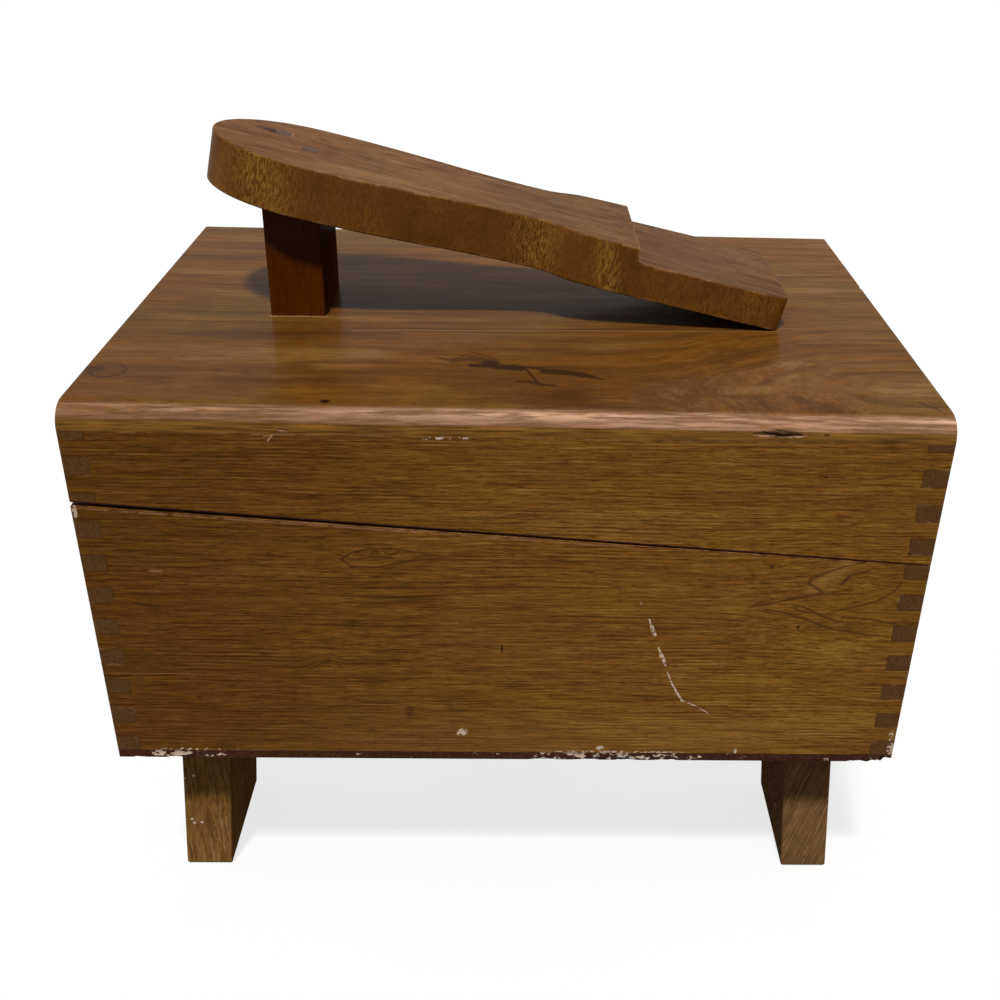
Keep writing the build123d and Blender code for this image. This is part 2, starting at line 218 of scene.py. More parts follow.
def varnishedWood(name, look, marks=(), extras=()):
    look = {**caseLook, **look}
    material, tree = startMaterial(name)
    source = addNode(tree, "TexCoord")
    raw = source.outputs["Object"]
    turn = look.get("turn", grainTurns[look["along"]])
    turned = addNode(tree, "Mapping", {"Vector": raw, "Rotation": turn}).outputs[0]

    # the grain sways a little and follows the rings round the heart of the trunk
    along, across, size = look["wave"]
    sway = addNode(tree, "Mapping", {"Vector": turned, "Location": look["offset"],
                                     "Scale": (along, across, across)}).outputs[0]
    sway = addNode(tree, "TexNoise", {"Vector": sway, "Scale": 1.0, "Detail": 3.0}).outputs[1]
    sway = addNode(tree, "VectorMath", {0: sway, 1: (0.5, 0.5, 0.5)}, operation="SUBTRACT").outputs[0]
    sway = addNode(tree, "VectorMath", {0: sway, 1: (0, size * 2, size * 2)}, operation="MULTIPLY").outputs[0]
    moved = addNode(tree, "VectorMath", {0: turned, 1: sway}, operation="ADD").outputs[0]
    part = addNode(tree, "SeparateXYZ", {0: moved})
    near, far, amount = look["rise"]
    rise = fit(tree, part.outputs[0], near, far, 0.0, 1.0, kind="SMOOTHERSTEP")
    deep = calc(tree, "SUBTRACT", part.outputs[1], look["heart"][0])
    deep = calc(tree, "ADD", deep, calc(tree, "MULTIPLY", rise, amount[0]))
    high = calc(tree, "SUBTRACT", part.outputs[2], look["heart"][1])
    high = calc(tree, "ADD", high, calc(tree, "MULTIPLY", rise, amount[1]))
    radius = calc(tree, "SQRT", calc(tree, "ADD", calc(tree, "MULTIPLY", deep, deep),
                                     calc(tree, "MULTIPLY", high, high)))
    for eye in look.get("eyes", ()):
        radius = calc(tree, "ADD", radius, calc(tree, "MULTIPLY", spot(tree, raw, eye), eye["push"]))
    side = calc(tree, "MULTIPLY", calc(tree, "ARCTAN2", high, deep), 0.03)
    flow = addNode(tree, "CombineXYZ", {0: part.outputs[0], 1: radius, 2: side}).outputs[0]
    flow = addNode(tree, "VectorMath", {0: flow, 1: look["offset"]}, operation="ADD").outputs[0]

    def streaks(scale, detail, roughness, place=(0, 0, 0)):
        return noise(tree, flow, (scale[0], scale[1], scale[1] * 0.6), detail, roughness, place)

    fine = streaks(look["fine"], 4.0, 0.72)
    hair = streaks(look["hair"], 3.0, 0.7, (3, 1, 2))
    band = streaks(look["band"], 4.0, 0.58, (1, 5, 3))
    pores = streaks(look["pores"], 1.0, 0.5, (2, 7, 1))
    wander = noise(tree, flow, look["wander"], 3.0)
    ring = calc(tree, "ADD", calc(tree, "DIVIDE", radius, look["ringWidth"]),
                calc(tree, "MULTIPLY", wander, look["ringWander"] * 2))
    ring = calc(tree, "FRACT", ring)
    ring = calc(tree, "MULTIPLY", fit(tree, ring, look["ringSharp"], 0.97), fit(tree, ring, 1.0, 0.97))
    strong = noise(tree, flow, look["strong"], 2.0, 0.5, (7, 2, 5))
    ring = calc(tree, "MULTIPLY", ring, fit(tree, strong, 0.38, 0.62))
    cloud = noise(tree, raw, look["cloud"], 3.0, 0.6, look["offset"])
    speck = noise(tree, raw, look["speck"], 4.0, 0.65, look["offset"])

    base = paint(tree, fit(tree, cloud, 0.42, 0.58), look["plain"], look["warm"])
    for level, low, top, amount, shade in (
        (band, 0.54, 0.68, "bandLight", "pale"), (band, 0.48, 0.34, "bandDark", "dark"),
        (fine, 0.52, 0.68, "fineLight", "pale"), (fine, 0.5, 0.34, "fineDark", "dark"),
        (hair, 0.48, 0.36, "hairDark", "dark"), (pores, 0.57, 0.68, "poresDark", "dark"),
        (ring, 0.0, 1.0, "ringDark", "dark"),
    ):
        share = calc(tree, "MULTIPLY", fit(tree, level, low, top), look[amount])
        base = paint(tree, share, base, look[shade])
    place = addNode(tree, "SeparateXYZ", {0: raw}).outputs[0]
    left, right, low, high = look["tone"]
    tone = paint(tree, fit(tree, place, left, right), low, high)
    base = addNode(tree, "VectorMath", {0: base, 1: tone}, operation="MULTIPLY").outputs[0]

    # end grain takes the stain darker
    facing = addNode(tree, "SeparateXYZ", {0: source.outputs["Normal"]})
    axis = {"X": 0, "Y": 1, "Z": 2}[look["along"]]
    endOn = fit(tree, calc(tree, "ABSOLUTE", facing.outputs[axis]), 0.8, 0.95)
    dots = noise(tree, raw, (900, 900, 900), 3.0, 0.6)
    endWood = paint(tree, fit(tree, dots, 0.35, 0.65), look["endDark"], look["endPlain"])
    endWood = paint(tree, calc(tree, "MULTIPLY", ring, 0.6), endWood, look["endDark"])
    base = paint(tree, endOn, base, endWood)
    for extra in extras:
        base = extra(tree, source, base, look)

    cloudy = fit(tree, speck, 0.3, 0.7, 1 - look["mottle"], 1 + look["mottle"], kind="LINEAR")
    base = brighten(tree, base, cloudy)

    if look["wear"] > 0:
        soft = addNode(tree, "Bevel", {"Radius": look["wearWidth"]}, samples=4)
        true = addNode(tree, "NewGeometry")
        match = addNode(tree, "VectorMath", {0: soft.outputs[0], 1: true.outputs["True Normal"]},
                        operation="DOT_PRODUCT").outputs[1]
        patches = noise(tree, raw, (90, 90, 90), 4.0, 0.7)
        edge = fit(tree, match, 0.99, 0.88)
        low = look["wearFrom"]
        grimy = calc(tree, "MULTIPLY", edge, fit(tree, patches, low, low - 0.06, 0.0, look["edgeGrime"]))
        base = paint(tree, grimy, base, look["dark"])
        worn = calc(tree, "MULTIPLY", edge, fit(tree, patches, low, low + 0.1, 0.0, look["wear"]))
        base = paint(tree, worn, base, look["bare"])

    base = paintMarks(tree, raw, base, marks)
    rough = fit(tree, fine, 0.3, 0.7, look["rough"] + 0.07, look["rough"] - 0.07, kind="LINEAR")
    height = calc(tree, "ADD", calc(tree, "MULTIPLY", fine, 0.6), calc(tree, "MULTIPLY", hair, 0.4))
    bump = addNode(tree, "Bump", {"Height": height, "Strength": look["bump"], "Distance": 0.0003})
    shader = addNode(tree, "BsdfPrincipled", {
        "Base Color": base, "Roughness": rough, "Normal": bump.outputs[0],
        "Specular IOR Level": look["gloss"], "Coat Weight": look["coat"], "Coat Roughness": look["coatRough"],
    })
    if look.get("coatTooth"):
        rounded = fit(tree, facing.outputs[2], 1.0, 0.93)
        tooth = calc(tree, "MULTIPLY", noise(tree, raw, (70, 700, 700), 4.0, 0.7), rounded)
        coatBump = addNode(tree, "Bump", {"Height": tooth, "Strength": look["coatTooth"], "Distance": 0.001})
        tree.links.new(coatBump.outputs[0], shader.inputs["Coat Normal"])
    addNode(tree, "OutputMaterial", {0: shader.outputs[0]})
    return material


def dress(material, *names):
    for name in names:
        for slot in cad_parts[name].material_slots:
            slot.material = material


# Thin dark lines where the fingers of the corner joints meet

fingers = {
    "size": 0.0095,
    "lowest": 0.112,                             # the underside of the lowest finger
    "centre": 0.00214,
    "reach": (0.1973, 0.1378),                   # how far from the centre the fingers start, in x and y
    "line": 0.0004,
    "strength": 0.7,
}
lidDrop = {"shift": -0.0051, "lean": 0.00405, "from": 0.2121}


def fingerLines(drop=None):
    def lines(tree, source, base, look):
        raw = source.outputs["Object"]
        x, y, z = addNode(tree, "SeparateXYZ", {0: raw}).outputs
        facing = addNode(tree, "SeparateXYZ", {0: source.outputs["Normal"]}).outputs
        away = calc(tree, "ABSOLUTE", calc(tree, "SUBTRACT", x, fingers["centre"]))
        inX = calc(tree, "SUBTRACT", away, fingers["reach"][0])
        inY = calc(tree, "SUBTRACT", calc(tree, "ABSOLUTE", y), fingers["reach"][1])
        frontOn = fit(tree, calc(tree, "ABSOLUTE", facing[1]), 0.8, 0.9)
        sideOn = fit(tree, calc(tree, "ABSOLUTE", facing[0]), 0.8, 0.9)
        inside = calc(tree, "ADD", calc(tree, "MULTIPLY", frontOn, inX), calc(tree, "MULTIPLY", sideOn, inY))
        level = calc(tree, "SUBTRACT", z, fingers["lowest"])
        if drop:
            leaning = calc(tree, "MULTIPLY", calc(tree, "SUBTRACT", drop["from"], x), drop["lean"])
            level = calc(tree, "SUBTRACT", calc(tree, "SUBTRACT", level, drop["shift"]), leaning)
        turns = calc(tree, "DIVIDE", level, fingers["size"])
        step = calc(tree, "ABSOLUTE", calc(tree, "SUBTRACT", turns, calc(tree, "ROUND", turns)))
        step = calc(tree, "MULTIPLY", step, fingers["size"])
        line = fingers["line"]
        flat = calc(tree, "MULTIPLY", fit(tree, step, line, line * 0.3), fit(tree, inside, -line, 0.0))
        odd = calc(tree, "FLOORED_MODULO", calc(tree, "FLOOR", turns), 2.0)
        even = calc(tree, "SUBTRACT", 1.0, odd)
        here = calc(tree, "ADD", calc(tree, "MULTIPLY", frontOn, even), calc(tree, "MULTIPLY", sideOn, odd))
        upright = fit(tree, calc(tree, "ABSOLUTE", inside), line, line * 0.3)
        upright = calc(tree, "MULTIPLY", upright, here)
        uneven = noise(tree, raw, (150, 150, 150), 2.0)
        both = calc(tree, "MAXIMUM", flat, upright)
        both = calc(tree, "MULTIPLY", both, fit(tree, uneven, 0.3, 0.6, 0.35, 1.0))
        onFace = calc(tree, "ADD", frontOn, sideOn, clamp=True)
        both = calc(tree, "MULTIPLY", calc(tree, "MULTIPLY", both, onFace), fingers["strength"])
        return paint(tree, both, base, look["dark"])
    return lines


# A dark line in the lips of the saw cut between base and lid, and a painted highlight as a paler line below
# it

sawCut = {
    "height": 0.24816, "slope": -0.069927,       # the base's rim at the middle, and how it falls to the right
    "base": (0.0006, 0.001, 0.0018),             # where the dark line ends, and the painted highlight is full and ends
    "lid": 0.001,
    "seamDark": (0.03, 0.0055, 0.0055),
    "rimHighlight": (0.27, 0.135, 0.065), "rimHighlightAmount": 0.65, "rimHighlightFades": (0.02, 0.12),
}


def cutLips(onLid):
    def lips(tree, source, base, look):
        raw = source.outputs["Object"]
        x, y, z = addNode(tree, "SeparateXYZ", {0: raw}).outputs
        rim = calc(tree, "ADD", calc(tree, "MULTIPLY", x, sawCut["slope"]), sawCut["height"])
        above = calc(tree, "SUBTRACT", z, rim)
        chips = noise(tree, raw, (120, 120, 120), 3.0, 0.7)
        upwards = addNode(tree, "SeparateXYZ", {0: source.outputs["Normal"]}).outputs[2]
        onFace = fit(tree, calc(tree, "ABSOLUTE", upwards), 0.9, 0.6)
        if onLid:
            above = calc(tree, "SUBTRACT", above, calc(tree, "MULTIPLY", chips, 0.001))
            lean = calc(tree, "MULTIPLY", calc(tree, "SUBTRACT", lidDrop["from"], x), lidDrop["lean"])
            above = calc(tree, "SUBTRACT", above, lean)
            seamLine = calc(tree, "MULTIPLY", fit(tree, above, sawCut["lid"], sawCut["lid"] * 0.5), onFace)
            return paint(tree, seamLine, base, sawCut["seamDark"])
        below = calc(tree, "MULTIPLY", above, -1.0)
        dark, pale, end = sawCut["base"]
        # painted highlight: a paler line just below the base's rim, fading towards the right
        line = calc(tree, "MULTIPLY", fit(tree, below, dark * 0.7, dark), fit(tree, below, end, pale))
        line = calc(tree, "MULTIPLY", line, fit(tree, chips, 0.36, 0.56))
        line = calc(tree, "MULTIPLY", line, fit(tree, x, *sawCut["rimHighlightFades"], sawCut["rimHighlightAmount"], 0.1))
        base = paint(tree, line, base, sawCut["rimHighlight"])
        # a dark line along the saw cut, on the upright faces
        seamLine = calc(tree, "MULTIPLY", fit(tree, below, dark, dark * 0.5), onFace)
        return paint(tree, seamLine, base, sawCut["seamDark"])
    return lips


# The rounded front and back edges of the top are rubbed pale above, with a painted highlight in that pale
# band and on its crest, and stained as the case below

rubbedAndHighlit = {
    "shade": (0.33, 0.18, 0.108), "amount": (0.3, 0.85), "from": -0.16, "to": 0.06,
    "stained": (0.12, 0.056, 0.009), "crestHighlight": (0.5, 0.32, 0.215),
}


def rubbedAndHighlitEdges(tree, source, base, look):
    raw = source.outputs["Object"]
    x = addNode(tree, "SeparateXYZ", {0: raw}).outputs[0]
    up = addNode(tree, "SeparateXYZ", {0: source.outputs["Normal"]}).outputs[2]
    streaks = noise(tree, raw, (40, 900, 900), 3.0, 0.65)
    below = calc(tree, "MULTIPLY", fit(tree, up, 0.5, 0.36), fit(tree, up, -0.5, -0.1))
    stained = brighten(tree, rubbedAndHighlit["stained"], fit(tree, streaks, 0.3, 0.7, 0.5, 1.5))
    base = paint(tree, below, base, stained)
    # painted highlight and wear: a pale band along the upper round-over, stronger towards the right
    crumbs = noise(tree, raw, (30, 520, 520), 4.0, 0.7)
    ragged = calc(tree, "ADD", up, calc(tree, "MULTIPLY", calc(tree, "SUBTRACT", crumbs, 0.5), 0.3))
    edge = calc(tree, "MULTIPLY", fit(tree, ragged, 1.0, 0.82), fit(tree, up, 0.4, 0.52))
    worn = fit(tree, x, rubbedAndHighlit["from"], rubbedAndHighlit["to"], *rubbedAndHighlit["amount"])
    amount = calc(tree, "MULTIPLY", edge, fit(tree, crumbs, 0.38, 0.6, 0.3, 1.0))
    base = paint(tree, calc(tree, "MULTIPLY", amount, worn), base, rubbedAndHighlit["shade"])
    # painted highlight: paler streaks along the crest of the round-over
    patches = noise(tree, raw, (14, 60, 60), 3.0, 0.6, (3, 1, 2))
    crestHighlight = calc(tree, "MULTIPLY", fit(tree, up, 0.97, 0.9), fit(tree, up, 0.66, 0.82))
    crestHighlight = calc(tree, "MULTIPLY", crestHighlight, fit(tree, crumbs, 0.46, 0.62))
    crestHighlight = calc(tree, "MULTIPLY", crestHighlight, fit(tree, patches, 0.36, 0.6, 0.2, 0.8))
    return paint(tree, calc(tree, "MULTIPLY", crestHighlight, worn), base, rubbedAndHighlit["crestHighlight"])


# The sawn sides of the footrest: short upright streaks and golden patches

sawnSides = {
    "plain": (0.112, 0.042, 0.0062), "gold": (0.25, 0.135, 0.02), "deep": (0.055, 0.019, 0.003),
    "streaks": (1300, 1000, 300), "patches": (24, 24, 12), "bands": (42, 20, 6),
    "golden": ((-0.127, 0.026), (0.013, 0.02), (0.052, 0.012)),    # where they lie, and how far each way
}


def sawnGrain(tree, source, base, look):
    raw = source.outputs["Object"]
    up = addNode(tree, "SeparateXYZ", {0: source.outputs["Normal"]}).outputs[2]
    onSide = fit(tree, calc(tree, "ABSOLUTE", up), 0.6, 0.4)
    turned = addNode(tree, "Mapping", {"Vector": raw, "Rotation": look["turn"]}).outputs[0]
    streaks = noise(tree, turned, sawnSides["streaks"], 3.0, 0.7)
    patches = noise(tree, turned, sawnSides["patches"], 3.0, 0.6, (4, 2, 1))
    bands = noise(tree, turned, sawnSides["bands"], 2.0, 0.5, (2, 5, 3))
    shade = paint(tree, fit(tree, patches, 0.35, 0.6, 0.45, 0.0), sawnSides["plain"], sawnSides["deep"])
    shade = paint(tree, fit(tree, bands, 0.5, 0.36, 0.0, 0.45), shade, sawnSides["deep"])
    shade = paint(tree, fit(tree, streaks, 0.48, 0.34, 0.0, 0.6), shade, sawnSides["deep"])
    x = addNode(tree, "SeparateXYZ", {0: raw}).outputs[0]
    lit = fit(tree, patches, 0.46, 0.66, 0.06, 0.4)
    for middle, reach in sawnSides["golden"]:
        away = calc(tree, "ABSOLUTE", calc(tree, "SUBTRACT", x, middle))
        lit = calc(tree, "MAXIMUM", lit, fit(tree, away, reach, reach * 0.1, 0.0, 0.8))
    gold = calc(tree, "MULTIPLY", fit(tree, streaks, 0.42, 0.64), lit)
    shade = paint(tree, gold, shade, sawnSides["gold"])
    return paint(tree, calc(tree, "MULTIPLY", onSide, 0.9), base, shade)


white = (0.55, 0.44, 0.34)
pinkish = (0.36, 0.19, 0.1)
black = (0.012, 0.005, 0.002)
stain = (0.018, 0.0075, 0.003)
deepBrown = (0.035, 0.013, 0.004)

frontFigure = [                                  # lines of the grain's figure, with their widths
    ([(124.0, 208.2), (131.3, 209.5), (142.5, 212.7), (159.2, 216.8), (170.0, 216.4), (182.1, 217.0)],
     (1.4, 2.0, 2.4, 2.0, 1.4)),
    ([(160.5, 216.8), (157.0, 219.8), (152.4, 222.7), (153.0, 225.2), (158.5, 228.4), (169.5, 233.1),
      (178.5, 235.2)], (2.6, 3.2, 3.6, 3.6, 2.2, 1.6)),
    ([(131.6, 206.9), (142.8, 204.8), (152.7, 201.4), (160.0, 198.0), (168.2, 195.0), (185.6, 191.6),
      (197.0, 190.8)], (2.0, 2.3, 2.2, 2.2, 2.0, 1.4)),
    ([(146.0, 209.6), (151.1, 208.9), (160.4, 203.7), (169.7, 199.8), (182.0, 198.9)], (1.6, 2.2, 2.4, 1.5)),
    ([(166.0, 206.0), (178.1, 209.1), (188.8, 212.6), (196.4, 218.8), (199.0, 224.0)], (1.8, 2.2, 2.0, 1.4)),
    ([(169.0, 222.5), (172.5, 227.8), (182.0, 230.6)], (3.0, 1.8)),
    ([(172.0, 202.6), (188.7, 201.0), (201.0, 198.0)], 1.8),
    ([(-80.4, 234.1), (-74.8, 238.3), (-64.8, 240.8), (-51.2, 240.2), (-36.6, 237.3)], (2.2, 1.9, 1.6, 1.4)),
    ([(-80.4, 234.1), (-75.3, 230.2), (-63.5, 229.6), (-49.0, 233.0), (-31.8, 235.6)], (2.4, 2.1, 1.8, 1.4)),
    ([(-73.1, 233.9), (-65.1, 236.0), (-55.3, 235.3)], 1.7),
]
frontMarks = onFront([
    # painted light: a broad soft pale band makes the front lighter towards its bottom
    {"at": (25.0, 119.0), "size": (215.0, 34.0), "soft": 1.0, "shade": (0.27, 0.15, 0.036), "strength": 0.14},
    {"at": (-22.6, 125.7), "size": (3.4, 2.7), "turn": 25, "soft": 0.3, "shade": white, "crumbs": 0.6,
     "strength": 0.9},
    # the scratch
    *strokes([(68.3, 212.5), (69.2, 209.0)], 0.8, white, crumbs=0.45),
    *strokes([(73.8, 200.0), (76.3, 190.8)], 1.1, white, crumbs=0.5),
    *strokes([(75.2, 195.5), (77.0, 190.5)], 2.4, white, crumbs=0.6),
    *strokes([(79.4, 182.5), (84.0, 170.5)], 1.1, white, crumbs=0.5),
    *strokes([(80.8, 178.5), (83.0, 173.5)], 2.6, white, crumbs=0.55),
    *strokes([(84.8, 168.0), (88.2, 158.5)], 0.9, white, crumbs=0.6),
    *strokes([(88.0, 159.0), (94.2, 147.8)], 1.5, white, crumbs=0.6),
    *strokes([(94.0, 148.5), (101.5, 144.6), (109.0, 139.6)], (0.9, 0.6), white, crumbs=0.5),
    # a lighter patch, knots and small dents
    {"at": (155.0, 220.0), "to": (170.0, 234.0), "width": 12.0, "soft": 1.0, "shade": (0.28, 0.145, 0.04),
     "strength": 0.45},
    {"at": (-1.2, 181.0), "size": (0.6, 3.8), "shade": black, "strength": 0.85},
    {"at": (132.8, 232.3), "size": (1.3, 1.2), "shade": black, "strength": 0.7},
    {"at": (150.1, 196.2), "size": (1.2, 1.2), "shade": black, "strength": 0.9},
    {"at": (-160.1, 148.1), "size": (1.5, 1.3), "shade": black, "strength": 0.6},
    {"at": (-49.9, 139.8), "size": (2.6, 4.5), "shade": deepBrown, "strength": 0.45},
    {"at": (-92.1, 171.6), "size": (4.5, 1.8), "turn": 20, "shade": deepBrown, "strength": 0.5},
    {"at": (-206.2, 163.0), "to": (-163.0, 163.5), "width": 0.8, "shade": pinkish, "strength": 0.25},
    {"at": (-175.0, 226.3), "to": (-169.0, 226.4), "width": 1.0, "shade": pinkish, "strength": 0.45},
    {"at": (-204.4, 196.3), "to": (-199.0, 196.4), "width": 1.1, "shade": pinkish},
    # chipped varnish along the edges
    {"at": (-206.0, 259.5), "size": (1.4, 4.0), "shade": white, "crumbs": 0.6},
    {"at": (52.0, 115.3), "size": (2.6, 1.8), "shade": white, "crumbs": 0.6},
    {"at": (125.7, 113.6), "size": (0.9, 2.6), "shade": white, "crumbs": 0.8},
    {"at": (209.5, 121.0), "size": (2.6, 9.0), "shade": white, "crumbs": 0.35, "strength": 0.6},
    {"at": (-166.0, 112.8), "size": (26.0, 1.0), "shade": white, "crumbs": 0.3},
    {"at": (60.0, 112.6), "size": (45.0, 0.9), "shade": white, "crumbs": 0.35},
])
for line, widths in frontFigure:
    frontMarks += onFront(strokes(line, widths, deepBrown, strength=0.72, soft=1.0))
frontEyes = onFront([                            # where lines of the grain are pushed aside, in metres
    {"at": (-68.0, 236.0), "size": (26.0, 5.5), "soft": 1.0, "push": 0.004},
    {"at": (-92.0, 171.5), "size": (12.0, 6.0), "soft": 1.0, "push": 0.003},
    {"at": (-49.9, 141.0), "size": (14.0, 7.0), "soft": 1.0, "push": 0.002},
    {"at": (132.8, 232.3), "size": (12.0, 5.0), "soft": 1.0, "push": 0.003},
])
lidFrontMarks = onFront([
    {"at": (-40.0, 300.9), "to": (-13.5, 301.8), "width": 1.6, "shade": white, "crumbs": 0.35},
    {"at": (-107.6, 302.4), "to": (-110.3, 299.0), "width": 1.1, "shade": pinkish},
    {"at": (-112.0, 301.0), "to": (-106.0, 302.8), "width": 0.8, "shade": pinkish, "strength": 0.6},
    {"at": (153.0, 283.2), "size": (1.2, 1.0), "shade": black, "strength": 0.6},
    {"at": (-16.9, 243.5), "size": (7.0, 1.6), "shade": black, "crumbs": 0.7},
    {"at": (60.0, 239.6), "size": (14.0, 2.2), "shade": black, "crumbs": 0.6},
    {"at": (129.0, 305.9), "size": (12.5, 2.2), "shade": stain, "crumbs": 0.85},
])
topMarks = [
    # the crossed stain
    *strokes([(-35.3, -83.0), (-27.0, -88.3)], 2.2, stain, strength=0.6),
    *strokes([(-27.0, -87.0), (-18.0, -83.0), (-9.0, -87.0)], (8.0, 11.0), stain, strength=0.5, soft=0.6),
    *strokes([(-27.0, -84.5), (-18.2, -75.5), (-11.5, -79.4), (-5.0, -85.0)], 2.4, stain, strength=0.6,
             soft=0.7),
    {"at": (-8.6, -89.5), "size": (8.0, 6.6), "turn": -28, "soft": 0.6, "shade": stain, "strength": 0.92},
    *strokes([(-18.0, -92.5), (-5.0, -93.8), (6.0, -95.4)], (5.5, 9.0), stain, strength=0.88, soft=0.5),
    *strokes([(2.0, -91.4), (14.0, -94.6), (22.0, -97.6)], 3.6, stain, strength=0.8, soft=0.6),
    *strokes([(15.0, -93.2), (36.0, -93.6)], 1.8, stain, strength=0.6, soft=0.6),
    *strokes([(19.5, -98.6), (28.5, -99.4)], 8.6, stain, strength=0.85, soft=0.5),
    *strokes([(29.0, -99.6), (37.9, -102.4), (42.5, -104.8)], (8.0, 5.6), stain, strength=0.88, soft=0.5),
    *strokes([(41.0, -103.8), (47.2, -107.4)], 2.6, stain, strength=0.85),
    *strokes([(8.6, -93.5), (14.8, -111.5)], 2.2, stain, strength=0.85, soft=0.6),
    *strokes([(5.5, -111.4), (11.5, -112.2), (17.5, -115.2), (23.5, -116.2)], (3.6, 5.2, 3.2), stain,
             strength=0.75, soft=0.6),
    # spots, ring and streaks
    {"at": (-84.5, -138.8), "size": (2.9, 2.4), "shade": black, "strength": 0.95},
    {"at": (-195.5, -106.5), "size": (8.6, 8.4), "ring": 0.15, "shade": stain, "strength": 0.62},
    {"at": (-202.0, -105.0), "size": (6.0, 5.0), "shade": stain, "crumbs": 0.8, "strength": 0.6},
    {"at": (-171.0, -46.2), "to": (-158.0, -45.6), "width": 2.2, "shade": deepBrown, "strength": 0.5},
    {"at": (-84.0, -46.9), "to": (34.0, -41.6), "width": 1.8, "shade": (0.17, 0.09, 0.022), "strength": 0.5},
    {"at": (30.0, -41.8), "to": (147.0, -37.1), "width": 1.8, "shade": (0.17, 0.09, 0.022), "strength": 0.6},
    {"at": (-84.0, -44.7), "to": (34.0, -39.5), "width": 1.4, "shade": deepBrown, "strength": 0.75},
    {"at": (30.0, -39.7), "to": (212.0, -34.0), "width": 1.5, "shade": deepBrown, "strength": 0.7},
    {"at": (163.0, 60.6), "to": (199.5, 62.4), "width": 2.4, "shade": (0.18, 0.1, 0.03), "strength": 0.5},
    {"at": (191.0, 58.8), "to": (200.0, 59.4), "width": 2.0, "shade": deepBrown, "strength": 0.8},
    {"at": (-131.0, -28.0), "to": (-101.0, -26.7), "width": 1.5, "shade": (0.25, 0.15, 0.07), "crumbs": 0.7},
    {"at": (-101.2, -13.0), "size": (1.4, 4.0), "shade": (0.35, 0.2, 0.1), "crumbs": 0.6},
    {"at": (199.0, -128.5), "to": (206.5, -138.0), "width": 2.4, "shade": deepBrown, "strength": 0.7},
    *onFront([{"at": (129.0, 305.4), "size": (13.5, 2.8), "soft": 0.5, "shade": stain, "strength": 0.8}]),
    {"at": (122.0, -117.0), "size": (26.0, 8.0), "turn": 12, "soft": 1.0, "shade": (0.2, 0.105, 0.03),
     "strength": 0.4},
]
restMarks = [
    {"around": (-131.4, 16.3, 405.4), "size": (11.0, 4.5), "turn": -14, "thick": 14, "shade": black,
     "crumbs": 0.75, "grain": 260, "strength": 0.85},
    {"around": (-103.8, -5.8, 399.0), "size": (11.5, 1.8), "turn": 4, "thick": 14, "shade": black,
     "crumbs": 0.85, "grain": 260, "strength": 0.85},
    {"around": (-20.0, -2.0, 389.0), "size": (70.0, 30.0), "thick": 30, "soft": 1.0,
     "shade": (0.17, 0.085, 0.03), "strength": 0.35},
    {"around": (-60.0, -24.0, 398.0), "size": (60.0, 12.0), "thick": 20, "soft": 1.0,
     "shade": (0.22, 0.12, 0.045), "strength": 0.45},
    {"around": (100.0, 5.0, 350.0), "size": (50.0, 60.0), "thick": 26, "soft": 1.0,
     "shade": (0.085, 0.036, 0.017), "strength": 0.5},
]
legDots = [(-179.0, 70.0), (-184.5, 68.0), (-186.5, 59.5), (-184.0, 36.5), (-178.5, 34.0), (-183.0, 33.5)]
leftLegMarks = onFront([{"around": (x, -124.5, z), "size": (1.1, 1.1), "shade": white, "strength": 0.75}
                        for x, z in legDots])


